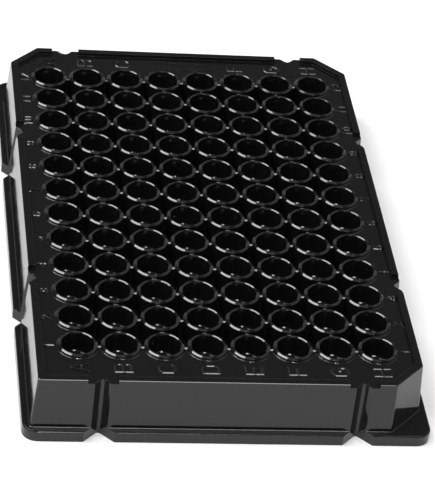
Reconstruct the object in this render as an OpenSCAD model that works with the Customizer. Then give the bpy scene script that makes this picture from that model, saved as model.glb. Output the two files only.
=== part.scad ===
// Well plate, moulded in one piece: a hollow skirted frame that carries a grid of
// open wells.  The length runs along X with column 1 at -X, the width runs along Y with
// row A at +Y, and the origin is the middle of the underside.  Millimetres.

/* [Well grid] */
// Number of columns, along the length
columns = 12; // [8:1:12]
// Number of rows, across the width
rows = 8; // [7:1:8]
// Distance between the centres of neighbouring wells
pitch = 9; // [8.7:0.05:11]
// Distance from a short edge of the base to the nearest column of well centres
end_margin = 14.38; // [13.5:0.02:20]
// Distance from a long edge of the base to the nearest row of well centres
side_margin = 11.24; // [10.5:0.02:18]

/* [Wells] */
// Inside diameter of a well at its rim
well_mouth_d = 6.85; // [6:0.05:7.2]
// Inside diameter of a well at its flat bottom
well_bottom_d = 6.65; // [5.5:0.05:7]
// Depth of a well below its rim
well_depth = 4.8; // [4:0.1:11.5]
// Outside diameter of the tube that forms a well
tube_d = 8.3; // [7.8:0.05:8.6]
// Width of the slope along the outer edge of a rim
rim_outer_w = 0.4; // [0.1:0.02:0.5]
// Width of the slope along the inner edge of a rim
rim_inner_w = 0.26; // [0.1:0.02:0.4]
// Angle of both slopes, from level
rim_slope = 35; // [15:1:50]
// Rounding between a well's wall and its bottom
well_corner_r = 0.5; // [0.2:0.1:1.5]
// Thickness of the floor under the wells and between them
floor_t = 1.2; // [0.8:0.1:2]
// How far the bottom of each well stands out below the floor between them
well_foot = 0.2; // [0.1:0.05:0.5]
// Thickness of the webs that join neighbouring wells
web_t = 1.0; // [0.6:0.1:1.6]
// Rounding between a tube and the deck or web around it
tube_fillet = 0.3; // [0.1:0.02:0.34]

/* [Frame] */
// Overall height
plate_h = 14.35; // [14:0.05:20]
// Thickness of the deck around the wells
deck_t = 1.3; // [0.8:0.1:2]
// Thickness of the side walls and of the flange
wall_t = 1.3; // [0.8:0.1:1.6]
// How far a side wall leans in from its foot to its top
wall_lean = 0.95; // [0:0.05:1.2]
// Rounding of the upright edges of the side walls
wall_edge_r = 0.7; // [0.2:0.1:2]
// Length cut off each side at the three bevelled corners, at the top
corner_cut = 6.6; // [3:0.1:8]
// Rounding at the foot of the side walls
foot_fillet = 0.2; // [0.1:0.05:0.8]

/* [Flange] */
// Height of the flange around the base
flange_h = 2.55; // [1.8:0.05:5]
// Width of the ledge between the flange's edge and the foot of the wall
flange_ledge = 1.5; // [0.8:0.05:2]
// Radius of the flange's corners, seen from above
flange_corner_r = 3.18; // [2:0.02:5]
// Rounding of the flange's upper edge
flange_edge_r = 0.35; // [0.1:0.05:0.6]

/* [Lip] */
// Width of the lip that stands up along the edge of the deck
lip_w = 1.6; // [1:0.1:2.4]
// Height of the lip, and of the rims of the wells, above the deck
lip_h = 0.8; // [0.6:0.05:1.5]
// Rounding of the lip's outer edge
lip_edge_r = 0.2; // [0.1:0.05:0.8]
// Length left out of the lip at each groove
lip_gap = 6.3; // [4.5:0.1:9]

/* [Grooves] */
// Distance of the grooves from the middle of each side
groove_offset = 27; // [18:0.5:28]
// Depth of a groove in the side wall
groove_depth = 1.4; // [0.6:0.1:1.8]
// Radius of the rounded bottom of a groove
groove_tip_r = 0.7; // [0.2:0.1:1.2]

/* [Markings] */
// Height of the row letters
letter_h = 3.7; // [2:0.1:5]
// Width of the row letters
letter_w = 2.8; // [1.5:0.1:3.4]
// Distance of the row letters from the nearest well centres
letter_gap = 7.0; // [6.2:0.05:8]
// Height of the column numbers
digit_h = 2.2; // [1.4:0.1:2.4]
// Width of one digit of the column numbers
digit_w = 1.45; // [0.9:0.05:1.6]
// Distance between the centres of two digits of one number
digit_step = 1.9; // [1.7:0.05:2.4]
// Distance of the column numbers from the nearest well centres
number_gap = 5.95; // [5.5:0.05:6.4]
// Width of the strokes of the letters
letter_stroke = 0.45; // [0.3:0.05:0.6]
// Width of the strokes of the numbers
digit_stroke = 0.36; // [0.25:0.01:0.45]
// Height of the letters and numbers above the deck
mark_h = 0.2; // [0.1:0.05:0.4]
// Length of the bare framed panel that takes the place of two letters
panel_l = 13.5; // [10:0.5:16]
// Width of that panel
panel_w = 3.15; // [2:0.05:3.6]

/* [Hidden] */

row_letters = ["A", "B", "C", "D", "E", "F", "G", "H"];
// The panel at column 12 takes the place of the letters of the middle rows
panel_rows = [ceil(rows / 2) - 1, floor(rows / 2)];

grid_x = (columns - 1) * pitch / 2;
grid_y = (rows - 1) * pitch / 2;
plate_l = 2 * (grid_x + end_margin);
plate_w = 2 * (grid_y + side_margin);
deck_z = plate_h - lip_h;
well_floor_z = plate_h - well_depth;
tube_bottom_z = well_floor_z - floor_t;
grid_bottom_z = tube_bottom_z + well_foot;
pocket_floor_z = grid_bottom_z + floor_t;
wall_top_inset = flange_ledge + wall_lean;
lean_angle = atan(wall_lean / (plate_h - flange_h));
// The middle of a tube's wall, where the tube and the grid around it overlap
seam_r = (well_mouth_d + tube_d) / 4;
// A thin tube narrows the slopes of its rim, so that this flat is left between them
rim_flat = 0.05;
rim_wall = (tube_d - well_mouth_d) / 2;
slope_share = min(1, (rim_wall - rim_flat) / (rim_outer_w + rim_inner_w));

// Pieces that are joined reach this far into each other, and cutters reach this far out
overlap = 0.3;
clear = 1;
// Turn between the flat steps of a corner seen from above, and of a rounded edge
corner_step = 15;
edge_step = 30;
round_fn = 64;
// Distance of the centre of a tube's fillet from the deck and the tube, in fillet sizes
fillet_reach = 1.25;
plastic_color = [0.09, 0.09, 0.1];

// Points of an arc about a centre, from one angle to another
function arc(centre, r, from, to, step = corner_step) =
    let (n = max(1, round(abs(to - from) / step)))
    [for (i = [0:n]) centre + r * [cos(from + (to - from) * i / n), sin(from + (to - from) * i / n)]];

// Corners of the side wall's outline, drawn in by inset from the edge of the base, in
// clockwise order from above, with the directions that the outline faces before and
// after each corner.  The corner at row A, column 1 is square and the others bevelled.
function cut_at(inset) = corner_cut + (wall_top_inset - inset) * (2 - sqrt(2));
function wall_corners(inset) =
    let (x = plate_l / 2 - inset, y = plate_w / 2 - inset, c = cut_at(inset))
    [[-x, y], [x - c, y], [x, y - c], [x, c - y], [x - c, -y], [c - x, -y], [-x, c - y]];
wall_facings = [[180, 90], [90, 45], [45, 0], [0, -45], [-45, -90], [-90, -135], [-135, -180]];
function wall_outline(inset) =
    let (corners = wall_corners(inset + wall_edge_r))
    [for (k = [0:len(corners) - 1])
        each arc(corners[k], wall_edge_r, wall_facings[k][0], wall_facings[k][1])];

// Outline of the flange, drawn in by inset
function flange_outline(inset) =
    let (x = plate_l / 2 - flange_corner_r, y = plate_w / 2 - flange_corner_r,
         r = flange_corner_r - inset)
    concat(arc([-x, y], r, 180, 90), arc([x, y], r, 90, 0),
           arc([x, -y], r, 0, -90), arc([-x, -y], r, -90, -180));

// How far the wall's outer face is drawn in at height z
function wall_inset(z) =
    flange_ledge + wall_lean * max(0, z - flange_h) / (plate_h - flange_h);

// Solid between outlines of equal length, one for each height, listed upwards
module stack(outlines, heights) {
    n = len(outlines[0]);
    top = len(outlines) - 1;
    polyhedron(
        points = [for (k = [0:top]) for (p = outlines[k]) [p.x, p.y, heights[k]]],
        faces = concat(
            [[for (i = [n - 1:-1:0]) i]],
            [for (k = [0:top - 1], i = [0:n - 1])
                let (j = (i + 1) % n)
                [k * n + i, k * n + j, (k + 1) * n + j, (k + 1) * n + i]],
            [[for (i = [0:n - 1]) top * n + i]]
        )
    );
}

// Side wall and deck as one closed block, with the fillet at its foot and the rounding
// along its upper edge.  Each level is [inset, height].
module wall_block() {
    foot = [for (a = [0:edge_step:90])
        let (z = flange_h + foot_fillet * (1 - cos(a)))
        [wall_inset(z) - foot_fillet * (1 - sin(a)), z]];
    edge = [for (a = [0:edge_step:90])
        let (z = plate_h - lip_edge_r * (1 - sin(a)))
        [wall_inset(z) + lip_edge_r * (1 - cos(a)), z]];
    levels = concat([[flange_ledge - foot_fillet, flange_h / 2]], foot, edge);
    stack([for (v = levels) wall_outline(v[0])], [for (v = levels) v[1]]);
}

module flange_block() {
    edge = [for (a = [0:edge_step:90])
        [flange_edge_r * (1 - cos(a)), flange_h - flange_edge_r * (1 - sin(a))]];
    levels = concat([[0, 0]], edge);
    stack([for (v = levels) flange_outline(v[0])], [for (v = levels) v[1]]);
}

// Places its children at each groove, on the line that lies inset inside the edge of
// the base, with +Y pointing into the plate
module at_grooves(inset) {
    for (s = [-1, 1]) {
        for (side = [0, 180])
            rotate(side)
                translate([s * groove_offset, inset - plate_w / 2, 0])
                    children();
        for (side = [-90, 90])
            rotate(side)
                translate([s * groove_offset, inset - plate_l / 2, 0])
                    children();
    }
}

// Plan of a right-angled groove with a rounded bottom.  grow moves its sides outwards.
module groove_plan(depth, grow = 0) {
    r = groove_tip_r + grow;
    centre = [0, depth - groove_tip_r];
    bottom = arc(centre, r, 45, 135);
    mouth = bottom[0].x + bottom[0].y + clear;
    polygon(concat([[-mouth, -clear], [mouth, -clear]], bottom));
}

// Notches in the flange, and the grooves in the side walls, which lean with them
module grooves(grow = 0) {
    at_grooves(0)
        translate([0, 0, -clear])
            linear_extrude(flange_h + clear + foot_fillet)
                groove_plan(flange_ledge + groove_depth, grow);
    at_grooves(flange_ledge)
        translate([0, 0, flange_h])
            rotate([-lean_angle, 0, 0])
                translate([0, 0, -flange_h / 2])
                    linear_extrude(plate_h)
                        groove_plan(groove_depth, grow);
}

// Space inside the skirt, open at the bottom
module skirt_space() {
    ceiling_z = deck_z - deck_t;
    wall_levels = [[flange_ledge, -clear], [flange_ledge, flange_h], [wall_inset(ceiling_z), ceiling_z]];
    flange_levels = [[wall_t, -clear], [wall_t, flange_h - wall_t]];
    difference() {
        union() {
            stack([for (v = wall_levels) wall_outline(v[0] + wall_t)], [for (v = wall_levels) v[1]]);
            stack([for (v = flange_levels) flange_outline(v[0])], [for (v = flange_levels) v[1]]);
        }
        grooves(wall_t);
    }
}

// Room above the deck, inside the lip and through the gaps in it
module lip_space() {
    translate([0, 0, deck_z])
        linear_extrude(lip_h + clear)
            polygon(wall_corners(wall_top_inset + lip_w));
    at_grooves(wall_top_inset)
        translate([-lip_gap / 2, -clear, deck_z])
            cube([lip_gap, lip_w + 2 * clear, lip_h + clear]);
}

module skirt() {
    difference() {
        union() {
            flange_block();
            wall_block();
        }
        skirt_space();
        lip_space();
        grooves();
    }
}

// Places its children at every well centre
module at_wells() {
    for (i = [0:columns - 1], j = [0:rows - 1])
        translate([i * pitch - grid_x, j * pitch - grid_y, 0])
            children();
}

// Solid block under the deck that the spaces between the wells are cut from
module grid_block() {
    translate([-grid_x - web_t, -grid_y - web_t, grid_bottom_z])
        cube([2 * (grid_x + web_t), 2 * (grid_y + web_t), deck_z - grid_bottom_z - overlap]);
}

// Spaces between the wells, open at the top.  Those along the edge of the grid reach
// out to the line through the outermost well centres.
module grid_pockets() {
    for (i = [0:columns - 2], j = [0:rows - 2]) {
        left = i == 0 ? -grid_x : i * pitch + web_t / 2 - grid_x;
        right = i == columns - 2 ? grid_x : (i + 1) * pitch - web_t / 2 - grid_x;
        low = j == 0 ? -grid_y : j * pitch + web_t / 2 - grid_y;
        high = j == rows - 2 ? grid_y : (j + 1) * pitch - web_t / 2 - grid_y;
        translate([left, low, pocket_floor_z])
            cube([right - left, high - low, plate_h]);
    }
}

// Fillet round the foot of a tube, on the deck and the webs
module tube_fillet_ring() {
    // The curve meets the deck and the tube at a slight angle
    off = fillet_reach * tube_fillet;
    curve_r = norm([off, off - tube_fillet]);
    translate([0, 0, deck_z])
        rotate_extrude($fn = round_fn)
            difference() {
                translate([seam_r, -overlap])
                    square([tube_d / 2 + tube_fillet - seam_r, tube_fillet + overlap]);
                translate([tube_d / 2 + off, off])
                    circle(r = curve_r, $fn = round_fn);
            }
}

// One well: a tube with a flat bottom and a rim that slopes off to both sides
module well() {
    translate([0, 0, tube_bottom_z])
        rotate_extrude($fn = round_fn)
            well_section();
}

module well_section() {
    outer = tube_d / 2;
    mouth = well_mouth_d / 2;
    bottom = well_bottom_d / 2;
    top = plate_h - tube_bottom_z;
    outer_w = slope_share * rim_outer_w;
    inner_w = slope_share * rim_inner_w;
    polygon(concat(
        [[0, 0], [outer, 0], [outer, top - outer_w * tan(rim_slope)], [outer - outer_w, top]],
        [[mouth + inner_w, top], [mouth, top - inner_w * tan(rim_slope)]],
        arc([bottom - well_corner_r, floor_t + well_corner_r], well_corner_r, 0, -90, edge_step),
        [[0, floor_t]]
    ));
}

// Strokes of each character, on a grid of these steps across and up
stroke_grid = [4, 6];
function strokes(c) =
    c == "A" ? [[[0, 0], [1.7, 6], [2.3, 6], [4, 0]], [[0.7, 2], [3.3, 2]]] :
    c == "B" ? [[[0, 3], [0, 6], [3, 6], [4, 5], [4, 4], [3, 3]],
                [[0, 3], [0, 0], [3, 0], [4, 1], [4, 2], [3, 3]], [[0, 3], [3, 3]]] :
    c == "C" ? [[[4, 1], [3, 0], [1, 0], [0, 1], [0, 5], [1, 6], [3, 6], [4, 5]]] :
    c == "D" ? [[[0, 0], [0, 6]], [[0, 6], [2.7, 6], [4, 4.6], [4, 1.4], [2.7, 0], [0, 0]]] :
    c == "E" ? [[[4, 6], [0, 6], [0, 0], [4, 0]], [[0, 3], [3.4, 3]]] :
    c == "F" ? [[[4, 6], [0, 6], [0, 0]], [[0, 3], [3.2, 3]]] :
    c == "G" ? [[[4, 5], [3, 6], [1, 6], [0, 5], [0, 1], [1, 0], [3, 0], [4, 1], [4, 3], [2.4, 3]]] :
    c == "H" ? [[[0, 0], [0, 6]], [[4, 0], [4, 6]], [[0, 3], [4, 3]]] :
    c == "0" ? [[[2, 0], [1, 0], [0, 1], [0, 5], [1, 6], [2, 6]],
                [[2, 6], [3, 6], [4, 5], [4, 1], [3, 0], [2, 0]]] :
    c == "1" ? [[[0.8, 4.8], [2, 6], [2, 0]]] :
    c == "2" ? [[[0, 5], [1, 6], [3, 6], [4, 5], [4, 4], [0, 0], [4, 0]]] :
    c == "3" ? [[[0, 5], [1, 6], [3, 6], [4, 5], [4, 4], [3, 3]],
                [[3, 3], [4, 2], [4, 1], [3, 0], [1, 0], [0, 1]], [[1.5, 3], [3, 3]]] :
    c == "4" ? [[[3, 0], [3, 6]], [[3, 6], [0, 2], [4, 2]]] :
    c == "5" ? [[[4, 6], [0.3, 6], [0, 3.4], [3, 3.6], [4, 2.6], [4, 1], [3, 0], [1, 0], [0, 1]]] :
    c == "6" ? [[[4, 5], [3, 6], [1, 6], [0, 5], [0, 1], [1, 0], [3, 0], [4, 1], [4, 2.5], [3, 3.5]],
                [[0, 3.5], [3, 3.5]]] :
    c == "7" ? [[[0, 6], [4, 6], [1.5, 0]]] :
    c == "8" ? [[[1, 3], [0, 4], [0, 5], [1, 6], [3, 6], [4, 5], [4, 4], [3, 3]],
                [[3, 3], [4, 2], [4, 1], [3, 0], [1, 0], [0, 1], [0, 2], [1, 3]], [[1, 3], [3, 3]]] :
    [[[0, 1], [1, 0], [3, 0], [4, 1], [4, 5], [3, 6], [1, 6], [0, 5], [0, 3.5], [1, 2.5]],
     [[1, 2.5], [4, 2.5]]];

// Points of the outline of a stroke of width w along the points p
function side_of(v) = [-v.y, v.x] / norm(v);
function joint(a, b, c) =
    let (m = side_of(b - a) + side_of(c - b))
    2 * m / (m * m);
function stroke_end(p, q, w) = p + (p - q) / norm(p - q) * w / 2;
function stroke_side(p, w) =
    [for (i = [0:len(p) - 1])
        i == 0 ? stroke_end(p[0], p[1], abs(w)) + side_of(p[1] - p[0]) * w / 2 :
        i == len(p) - 1 ? stroke_end(p[i], p[i - 1], abs(w)) + side_of(p[i] - p[i - 1]) * w / 2 :
        p[i] + joint(p[i - 1], p[i], p[i + 1]) * w / 2];
function reversed(p) = [for (i = [len(p) - 1:-1:0]) p[i]];
function stroke_outline(p, w) = concat(stroke_side(p, w), reversed(stroke_side(p, -w)));

// A point of that grid in a box of this size, centred on the origin
function on_grid(p, size) =
    [(p.x / stroke_grid.x - 1 / 2) * size.x, (p.y / stroke_grid.y - 1 / 2) * size.y];

// A raised character whose strokes fill a box w wide and h high, centred on the origin
module character(c, w, h, stroke) {
    size = [w - stroke, h - stroke];
    translate([0, 0, deck_z - overlap])
        linear_extrude(mark_h + overlap)
            for (line = strokes(c))
                polygon(stroke_outline([for (p = line) on_grid(p, size)], stroke));
}

module row_letter(i, x) {
    translate([x, grid_y - i * pitch, 0])
        character(row_letters[i], letter_w, letter_h, letter_stroke);
}

module column_number(n, y) {
    digits = str(n);
    for (k = [0:len(digits) - 1])
        translate([(n - 1) * pitch - grid_x + (k - (len(digits) - 1) / 2) * digit_step, y, 0])
            character(digits[k], digit_w, digit_h, digit_stroke);
}

module panel_frame() {
    translate([grid_x + letter_gap - panel_w / 2, -panel_l / 2, deck_z - overlap])
        linear_extrude(mark_h + overlap)
            difference() {
                square([panel_w, panel_l]);
                translate([letter_stroke, letter_stroke])
                    square([panel_w - 2 * letter_stroke, panel_l - 2 * letter_stroke]);
            }
}

module markings() {
    for (i = [0:rows - 1]) {
        row_letter(i, -grid_x - letter_gap);
        if (len(search(i, panel_rows)) == 0)
            row_letter(i, grid_x + letter_gap);
    }
    for (n = [1:columns], side = [-1, 1])
        column_number(n, side * (grid_y + number_gap));
    panel_frame();
}

module well_plate() {
    color(plastic_color)
        union() {
            difference() {
                union() {
                    skirt();
                    grid_block();
                    at_wells()
                        tube_fillet_ring();
                }
                grid_pockets();
                at_wells()
                    translate([0, 0, -clear])
                        cylinder(r = seam_r, h = plate_h + 2 * clear, $fn = round_fn);
            }
            at_wells()
                well();
            markings();
        }
}

well_plate();
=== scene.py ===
import math

import bpy
from mathutils import Matrix, Quaternion, Vector


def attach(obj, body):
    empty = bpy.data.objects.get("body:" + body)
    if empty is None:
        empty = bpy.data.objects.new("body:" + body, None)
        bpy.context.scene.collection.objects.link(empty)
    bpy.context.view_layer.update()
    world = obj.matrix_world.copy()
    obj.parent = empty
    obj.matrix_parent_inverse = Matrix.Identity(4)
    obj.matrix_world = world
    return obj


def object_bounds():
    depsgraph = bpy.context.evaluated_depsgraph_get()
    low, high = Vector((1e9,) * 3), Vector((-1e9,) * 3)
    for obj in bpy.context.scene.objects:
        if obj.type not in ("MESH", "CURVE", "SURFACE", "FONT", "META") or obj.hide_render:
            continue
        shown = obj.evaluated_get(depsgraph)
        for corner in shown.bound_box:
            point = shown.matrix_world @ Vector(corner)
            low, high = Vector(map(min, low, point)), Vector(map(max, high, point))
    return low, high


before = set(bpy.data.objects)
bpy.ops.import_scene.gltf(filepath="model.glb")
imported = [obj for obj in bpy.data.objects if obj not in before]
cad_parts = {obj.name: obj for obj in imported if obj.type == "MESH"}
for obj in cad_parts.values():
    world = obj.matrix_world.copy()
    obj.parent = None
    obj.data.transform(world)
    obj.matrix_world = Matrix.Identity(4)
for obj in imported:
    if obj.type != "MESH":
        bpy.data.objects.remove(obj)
cad_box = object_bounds()

MM = 0.001

# ---------------------------------------------------------------- sizes, in mm

# The plate. Its outside comes from the frame.
HALF_X, HALF_Y, TOP = (side / MM for side in cad_box[1])
COLUMNS, ROWS, PITCH = 12, 8, 9.0
GRID_X, GRID_Y = (COLUMNS - 1) * PITCH / 2, (ROWS - 1) * PITCH / 2
LIP_H = 0.8
DECK = TOP - LIP_H

# Bounds between the surfaces that render with rounded corners and the others
UNDER_DECK = DECK - 0.25
WELLS_X, WELLS_Y = GRID_X + 5.0, GRID_Y + 5.0   # half sides of the field of wells
LIP_X, LIP_Y = 60.6, 39.5                       # half sides at the middle of the lip
CORNER_R = 0.10

# Row letters and column numbers
LETTER_GAP, NUMBER_GAP = 7.0, 5.95              # from the centres of the outermost wells
LETTER = (2.8, 3.7, 0.225)                      # width, height and half a stroke's width
DIGIT = (1.45, 2.2, 0.18)
DIGIT_STEP = 1.9
PANEL_ROWS = "DE"                               # at column 12 the panel is in their place

# Ridges with sloping sides. FOOT and TOP are heights above the deck.
SUNK = 0.02                                     # how far their sides reach into the deck
MARK_FOOT, MARK_TOP = 0.1, 0.3
MARK_SPREAD = 0.1                               # how far a foot reaches beyond the CAD's stroke
WEB_HALF_LENGTH, WEB_HALF_WIDTH, WEB_TOP = 0.4, 0.5, 0.25
GROOVE_HALF_WIDTH, GROOVE_TOP = 0.17, 0.15
GROOVE_OFFSET = 27.0                            # from the middle of each side
FACE_INSET = 2.386                              # from the flange's edge to the wall, at the deck
# Edge of a groove seen from above, from the middle of its mouth, with +y into the plate
GROOVE_LINE = [(-1.7, 0.2), (-0.6, 1.3), (0, 1.55), (0.6, 1.3), (1.7, 0.2)]


# ---------------------------------------------------------------- node helpers

class Nodes:
    """Short calls for building a node tree."""

    def __init__(self, tree):
        self.tree = tree
        tree.nodes.clear()

    def add(self, kind, **values):
        node = self.tree.nodes.new(kind)
        for name, value in values.items():
            setattr(node, name, value)
        return node

    def link(self, source, target):
        self.tree.links.new(source, target)

    def noise(self, vector, scale, detail, rough):
        node = self.add("ShaderNodeTexNoise")
        node.inputs["Scale"].default_value = scale
        node.inputs["Detail"].default_value = detail
        node.inputs["Roughness"].default_value = rough
        self.link(vector, node.inputs["Vector"])
        return node.outputs["Fac"]

    def math(self, operation, first, second=None):
        """second is a number, another output, or nothing where the operation takes one value."""
        node = self.add("ShaderNodeMath", operation=operation)
        self.link(first, node.inputs[0])
        if isinstance(second, float):
            node.inputs[1].default_value = second
        elif second is not None:
            self.link(second, node.inputs[1])
        return node.outputs["Value"]

    def beyond(self, axes, half_x, half_y):
        """1 outside the rectangle with these half sides, in mm, and 0 inside it."""
        past = []
        for axis, half in (("X", half_x), ("Y", half_y)):
            away = self.math("ABSOLUTE", axes.outputs[axis])
            past.append(self.math("GREATER_THAN", away, half * MM))
        return self.math("MAXIMUM", *past)

    def span(self, value, low, high, to_low, to_high):
        """value, with the range from low to high stretched to that from to_low to to_high."""
        node = self.add("ShaderNodeMapRange")
        names = ("From Min", "From Max", "To Min", "To Max")
        for name, number in zip(names, (low, high, to_low, to_high)):
            node.inputs[name].default_value = number
        self.link(value, node.inputs["Value"])
        return node.outputs["Result"]

    def ramp(self, value, *stops):
        """Colour for value. Each of the two stops is a position and a colour."""
        node = self.add("ShaderNodeValToRGB")
        for i, (position, colour) in enumerate(stops):
            node.color_ramp.elements[i].position = position
            node.color_ramp.elements[i].color = (*colour, 1)
        self.link(value, node.inputs["Fac"])
        return node.outputs["Color"]

    def bump(self, height, strength, distance, normal):
        node = self.add("ShaderNodeBump")
        node.inputs["Strength"].default_value = strength
        node.inputs["Distance"].default_value = distance
        self.link(height, node.inputs["Height"])
        self.link(normal, node.inputs["Normal"])
        return node.outputs["Normal"]

    def mix_vectors(self, factor, first, second):
        """first where factor is 0, second where it is 1."""
        node = self.add("ShaderNodeMix", data_type="VECTOR")
        vector_a, vector_b, vector_out = 4, 5, 1
        self.link(factor, node.inputs["Factor"])
        self.link(first, node.inputs[vector_a])
        self.link(second, node.inputs[vector_b])
        return node.outputs[vector_out]


def new_material(name):
    """Material, its empty tree's helper and the socket that takes its surface."""
    material = bpy.data.materials.new(name)
    material.use_nodes = True
    n = Nodes(material.node_tree)
    return material, n, n.add("ShaderNodeOutputMaterial").inputs["Surface"]


# ---------------------------------------------------------------- materials

def corner_normal(n, where):
    """Normals with rounded corners on the deck and on the outside below it, and plain elsewhere."""
    edges = n.add("ShaderNodeBevel", samples=6)
    edges.inputs["Radius"].default_value = CORNER_R * MM
    axes = n.add("ShaderNodeSeparateXYZ")
    n.link(where, axes.inputs["Vector"])
    high = n.math("GREATER_THAN", axes.outputs["Z"], UNDER_DECK * MM)
    outside = n.math("SUBTRACT", n.beyond(axes, WELLS_X, WELLS_Y), high)
    deck = n.math("SUBTRACT", high, n.beyond(axes, LIP_X, LIP_Y))
    rounded = n.math("MAXIMUM", outside, deck)
    plain = n.add("ShaderNodeNewGeometry").outputs["Normal"]
    return n.mix_vectors(rounded, plain, edges.outputs["Normal"])


def black_polystyrene():
    """Glossy moulded black polystyrene: flow marks, an uneven gloss and a faint orange peel."""
    material, n, surface = new_material("black_polystyrene")
    shader = n.add("ShaderNodeBsdfPrincipled")
    shader.inputs["IOR"].default_value = 1.5
    n.link(shader.outputs["BSDF"], surface)
    where = n.add("ShaderNodeTexCoord").outputs["Object"]

    flow = n.noise(where, scale=90.0, detail=3.0, rough=0.55)
    dark, light = (0.0042, 0.0042, 0.0045), (0.0062, 0.0062, 0.0066)
    n.link(n.ramp(flow, (0.3, dark), (0.75, light)), shader.inputs["Base Color"])

    haze = n.noise(where, scale=240.0, detail=4.0, rough=0.6)
    roughness = n.span(haze, low=0.3, high=0.75, to_low=0.06, to_high=0.13)
    n.link(roughness, shader.inputs["Roughness"])

    grain = n.noise(where, scale=1400.0, detail=2.0, rough=0.5)
    peel = n.bump(grain, strength=0.05, distance=0.05 * MM, normal=corner_normal(n, where))
    waves = n.bump(flow, strength=0.08, distance=0.3 * MM, normal=peel)
    n.link(waves, shader.inputs["Normal"])
    return material


def white_floor():
    """Matt white paper, lifted to white where the camera or a mirror image shows it."""
    material, n, surface = new_material("white_paper")
    paper = n.add("ShaderNodeBsdfDiffuse")
    paper.inputs["Color"].default_value = (0.93, 0.93, 0.93, 1)
    lift = n.add("ShaderNodeEmission")
    path = n.add("ShaderNodeLightPath").outputs
    mirrored = n.math("MAXIMUM", path["Is Glossy Ray"], path["Is Transmission Ray"])
    seen = n.math("MAXIMUM", path["Is Camera Ray"], mirrored)
    strength = n.span(seen, low=0, high=1, to_low=0, to_high=0.12)
    n.link(strength, lift.inputs["Strength"])
    both = n.add("ShaderNodeAddShader")
    n.link(paper.outputs["BSDF"], both.inputs[0])
    n.link(lift.outputs["Emission"], both.inputs[1])
    n.link(both.outputs["Shader"], surface)
    return material


# ---------------------------------------------------------------- the plate

plastic = black_polystyrene()
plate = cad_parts["well_plate"]
plate.data.materials.clear()
plate.data.materials.append(plastic)


# ---------------------------------------------------------------- ridges

# Strokes of the characters, on a grid 4 wide and 6 high
STROKE_GRID = (4, 6)
STROKES = {
    "A": [[(0, 0), (1.7, 6), (2.3, 6), (4, 0)], [(0.7, 2), (3.3, 2)]],
    "B": [[(0, 3), (0, 6), (3, 6), (4, 5), (4, 4), (3, 3)],
          [(0, 3), (0, 0), (3, 0), (4, 1), (4, 2), (3, 3)], [(0, 3), (3, 3)]],
    "C": [[(4, 1), (3, 0), (1, 0), (0, 1), (0, 5), (1, 6), (3, 6), (4, 5)]],
    "D": [[(0, 0), (0, 6)], [(0, 6), (2.7, 6), (4, 4.6), (4, 1.4), (2.7, 0), (0, 0)]],
    "E": [[(4, 6), (0, 6), (0, 0), (4, 0)], [(0, 3), (3.4, 3)]],
    "F": [[(4, 6), (0, 6), (0, 0)], [(0, 3), (3.2, 3)]],
    "G": [[(4, 5), (3, 6), (1, 6), (0, 5), (0, 1), (1, 0), (3, 0), (4, 1), (4, 3), (2.4, 3)]],
    "H": [[(0, 0), (0, 6)], [(4, 0), (4, 6)], [(0, 3), (4, 3)]],
    "0": [[(2, 0), (1, 0), (0, 1), (0, 5), (1, 6), (2, 6)],
          [(2, 6), (3, 6), (4, 5), (4, 1), (3, 0), (2, 0)]],
    "1": [[(0.8, 4.8), (2, 6), (2, 0)]],
    "2": [[(0, 5), (1, 6), (3, 6), (4, 5), (4, 4), (0, 0), (4, 0)]],
    "3": [[(0, 5), (1, 6), (3, 6), (4, 5), (4, 4), (3, 3)],
          [(3, 3), (4, 2), (4, 1), (3, 0), (1, 0), (0, 1)], [(1.5, 3), (3, 3)]],
    "4": [[(3, 0), (3, 6)], [(3, 6), (0, 2), (4, 2)]],
    "5": [[(4, 6), (0.3, 6), (0, 3.4), (3, 3.6), (4, 2.6), (4, 1), (3, 0), (1, 0), (0, 1)]],
    "6": [[(4, 5), (3, 6), (1, 6), (0, 5), (0, 1), (1, 0), (3, 0), (4, 1), (4, 2.5), (3, 3.5)],
          [(0, 3.5), (3, 3.5)]],
    "7": [[(0, 6), (4, 6), (1.5, 0)]],
    "8": [[(1, 3), (0, 4), (0, 5), (1, 6), (3, 6), (4, 5), (4, 4), (3, 3)],
          [(3, 3), (4, 2), (4, 1), (3, 0), (1, 0), (0, 1), (0, 2), (1, 3)], [(1, 3), (3, 3)]],
    "9": [[(0, 1), (1, 0), (3, 0), (4, 1), (4, 5), (3, 6), (1, 6), (0, 5), (0, 3.5), (1, 2.5)],
          [(1, 2.5), (4, 2.5)]],
}


def sloped(half_width, foot, top):
    """Side profile, upright to the foot's height and then leaning in at 45 degrees to the top."""
    return [(half_width, -SUNK), (half_width, foot), (half_width - (top - foot), top)]


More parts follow.
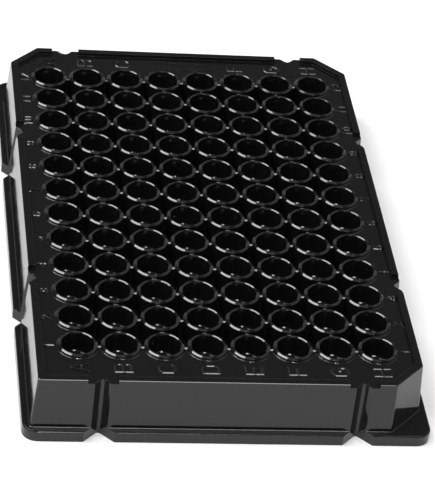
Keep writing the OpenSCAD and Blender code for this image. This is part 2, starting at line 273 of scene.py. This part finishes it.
class Ridges:
    """Collects ridges on the deck, in millimetres, as one mesh."""

    def __init__(self):
        self.points, self.faces = [], []

    def ridge(self, line, profile):
        """Ridge along a line, with mitred bends. A profile's levels are (half width, height)."""
        line = [Vector(p) for p in line]
        along = [(b - a).normalized() for a, b in zip(line, line[1:])]
        left = [Vector((-d.y, d.x)) for d in along]
        bends = [a + b for a, b in zip(left, left[1:])]
        sides = [left[0], *(bend * 2 / bend.length_squared for bend in bends), left[-1]]
        ends = [-along[0], *(Vector((0, 0)) for _ in bends), along[-1]]
        start = len(self.points)
        for p, side, end in zip(line, sides, ends):
            for sign, levels in ((1, profile), (-1, profile[::-1])):
                for width, height in levels:
                    q = p + (sign * side + end) * width
                    self.points.append((q.x, q.y, DECK + height))
        ring, steps = 2 * len(profile), range(len(profile) - 1)
        for a in range(start, len(self.points) - ring, ring):
            b = a + ring
            self.faces += [(a + k, a + k + 1, b + k + 1, b + k) for k in range(ring - 1)]
        a, b = start, len(self.points) - ring
        self.faces += [(a + k, a + ring - 1 - k, a + ring - 2 - k, a + k + 1) for k in steps]
        self.faces += [(b + k, b + k + 1, b + ring - 2 - k, b + ring - 1 - k) for k in steps]

    def character(self, name, x, y, width, height, half_stroke):
        """Letter or digit in the middle of (x, y), with a ridge over each of its strokes."""
        across, up = STROKE_GRID
        w, h = width - 2 * half_stroke, height - 2 * half_stroke
        profile = sloped(half_stroke + MARK_SPREAD, MARK_FOOT, MARK_TOP)
        for line in STROKES[name]:
            self.ridge([(x + (u / across - 0.5) * w, y + (v / up - 0.5) * h) for u, v in line],
                       profile)

    def piece(self, name):
        """Object with all the ridges, of the plate's plastic."""
        mesh = bpy.data.meshes.new(name)
        mesh.from_pydata([Vector(p) * MM for p in self.points], [], self.faces)
        mesh.materials.append(plastic)
        piece = bpy.data.objects.new(name, mesh)
        bpy.context.scene.collection.objects.link(piece)
        return piece


# The CAD's letters and numbers have upright sides. These lie over them, stroke for stroke,
# with the sloping sides of moulded ones.
ridges = Ridges()
for row, letter in enumerate("ABCDEFGH"):
    y = GRID_Y - row * PITCH
    ridges.character(letter, -GRID_X - LETTER_GAP, y, *LETTER)
    if letter not in PANEL_ROWS:
        ridges.character(letter, GRID_X + LETTER_GAP, y, *LETTER)
for column in range(COLUMNS):
    digits = str(column + 1)
    for k, digit in enumerate(digits):
        x = column * PITCH - GRID_X + (k - (len(digits) - 1) / 2) * DIGIT_STEP
        for y in (-GRID_Y - NUMBER_GAP, GRID_Y + NUMBER_GAP):
            ridges.character(digit, x, y, *DIGIT)
marks = ridges.piece("raised_marks")
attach(marks, "root")

# Bevelled edges: on the webs between the wells of one column, and round the grooves
bevels = Ridges()
web_profile = sloped(WEB_HALF_WIDTH, 0, WEB_TOP)
for column in range(COLUMNS):
    for gap in range(ROWS - 1):
        x, y = column * PITCH - GRID_X, (gap + 0.5) * PITCH - GRID_Y
        bevels.ridge([(x, y - WEB_HALF_LENGTH), (x, y + WEB_HALF_LENGTH)], web_profile)
groove_profile = sloped(GROOVE_HALF_WIDTH, 0, GROOVE_TOP)
for turn, half in ((0, HALF_Y), (90, HALF_X), (180, HALF_Y), (270, HALF_X)):
    spin = Matrix.Rotation(math.radians(turn), 2)
    for offset in (-GROOVE_OFFSET, GROOVE_OFFSET):
        mouth = Vector((offset, FACE_INSET - half))
        bevels.ridge([spin @ (mouth + Vector(p)) for p in GROOVE_LINE], groove_profile)
edges = bevels.piece("edge_bevels")
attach(edges, "root")


# ---------------------------------------------------------------- stage

bpy.ops.mesh.primitive_plane_add(size=6.0, location=(0, 0, 0))
floor = bpy.context.object
floor.name = "floor"
floor.data.materials.append(white_floor())


def direction(azimuth, elevation):
    """Unit vector towards an azimuth and an elevation, in degrees."""
    a, e = math.radians(azimuth), math.radians(elevation)
    return Vector((math.cos(e) * math.cos(a), math.cos(e) * math.sin(a), math.sin(e)))


AIM = Vector((0, 0, 0.01))
LAMPS = (
    # name, azimuth, elevation, distance, width, height (in m), radiance, turn
    ("side_softbox", 90, 59, 2.4, 1.76, 0.52, 12.5, 35),
    ("side_strip", 90, 42, 1.2, 0.32, 0.12, 12.0, 0),
    ("top_softbox", 180, 71, 0.9, 0.5, 0.4, 0.5, 0),
    ("back_softbox", 0, 64, 0.9, 0.8, 0.35, 1.5, 0),
    ("fill_card", -82, 42, 0.9, 0.9, 0.5, 0.45, 0),
    ("front_softbox", 190, 52, 1.2, 0.33, 0.24, 11.0, 0),
    ("front_lamp", 178, 46, 1.2, 0.042, 0.042, 520.0, 0),
)


def softbox(name, azimuth, elevation, distance, width, height, radiance, turn):
    """Area lamp of the given radiance that faces the plate. turn spins it in its own plane."""
    data = bpy.data.lights.new(name, "AREA")
    data.shape = "RECTANGLE"
    data.size, data.size_y = width, height
    data.energy = radiance * math.pi * width * height
    lamp = bpy.data.objects.new(name, data)
    bpy.context.scene.collection.objects.link(lamp)
    lamp.location = AIM + distance * direction(azimuth, elevation)
    facing = (AIM - lamp.location).to_track_quat("-Z", "Y")
    lamp.rotation_euler = (facing @ Quaternion((0, 0, 1), math.radians(turn))).to_euler()


for lamp in LAMPS:
    softbox(*lamp)


def studio():
    """Light walls up to 17 degrees above the horizon, and dim from 26 degrees up."""
    world = bpy.data.worlds.new("studio")
    bpy.context.scene.world = world
    world.use_nodes = True
    n = Nodes(world.node_tree)
    out = n.add("ShaderNodeOutputWorld")
    back = n.add("ShaderNodeBackground")
    n.link(back.outputs["Background"], out.inputs["Surface"])
    up = n.add("ShaderNodeSeparateXYZ")
    n.link(n.add("ShaderNodeTexCoord").outputs["Generated"], up.inputs["Vector"])
    light, dim = (0.55, 0.55, 0.55), (0.13, 0.13, 0.13)
    walls = n.ramp(up.outputs["Z"], (0.30, light), (0.44, dim))
    n.link(walls, back.inputs["Color"])


studio()


# ---------------------------------------------------------------- camera

def place_camera(location, azimuth, down, roll, focal):
    """Camera looking along azimuth and down, in degrees. focal is in image widths."""
    forward = direction(azimuth, -down)
    level = forward.cross(Vector((0, 0, 1))).normalized()
    rise = level.cross(forward)
    right = level * math.cos(math.radians(roll)) + rise * math.sin(math.radians(roll))
    above = right.cross(forward)
    data = bpy.data.cameras.new("camera")
    data.sensor_fit = "HORIZONTAL"
    data.sensor_width = 36.0
    data.lens = focal * data.sensor_width
    data.clip_start, data.clip_end = 0.01, 20.0
    camera = bpy.data.objects.new("camera", data)
    bpy.context.scene.collection.objects.link(camera)
    turn = Matrix((right, above, -forward)).transposed()
    camera.matrix_world = Matrix.Translation(location) @ turn.to_4x4()
    bpy.context.scene.camera = camera


station = Vector((-454.8, 86.8, 346.3)) * MM
place_camera(station, azimuth=-11.35, down=36.56, roll=8.29, focal=5.894)

bpy.context.scene.view_settings.view_transform = "Standard"
